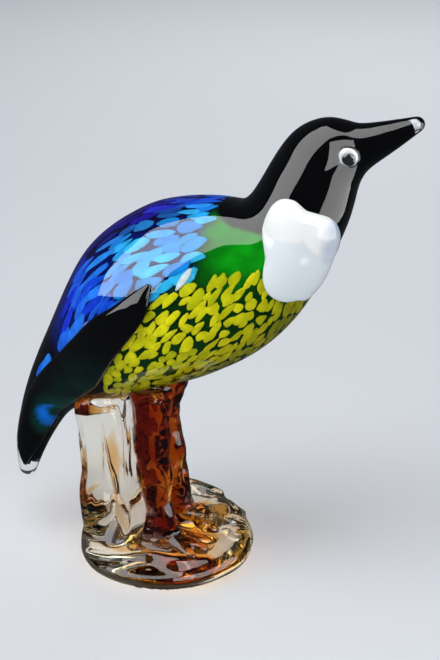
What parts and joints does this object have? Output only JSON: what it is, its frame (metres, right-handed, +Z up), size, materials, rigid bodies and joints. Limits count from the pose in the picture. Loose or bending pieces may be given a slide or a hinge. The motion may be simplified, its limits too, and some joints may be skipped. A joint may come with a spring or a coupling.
{
  "type": "art glass bird figurine",
  "caption": "Hot-worked glass bird standing on amber legs on a clear glass rock, head lifted, tail resting on a clear stump.",
  "frame": {"origin": "middle of the rock's flat underside, on the surface it stands on", "axes": "+X the way the beak points, +Y the bird's left, +Z up"},
  "size_m": [0.2034, 0.0829, 0.2424],
  "materials": {
    "bird_glass": "polished",
    "wing_glass": "polished",
    "white_glass": "polished",
    "eye_glass": "polished",
    "pupil_glass": "polished",
    "amber_glass": "polished",
    "clear_glass": "polished"
  },
  "bodies": {
    "root": {"bird": "bird_glass", "wing_right": "wing_glass", "wing_left": "wing_glass", "cheek_right": "white_glass", "cheek_left": "white_glass", "eye_right": "eye_glass", "eye_left": "eye_glass", "pupil_right": "pupil_glass", "pupil_left": "pupil_glass", "leg_right": "amber_glass", "leg_left": "amber_glass", "rock": "clear_glass"}
  },
  "joints": []
}
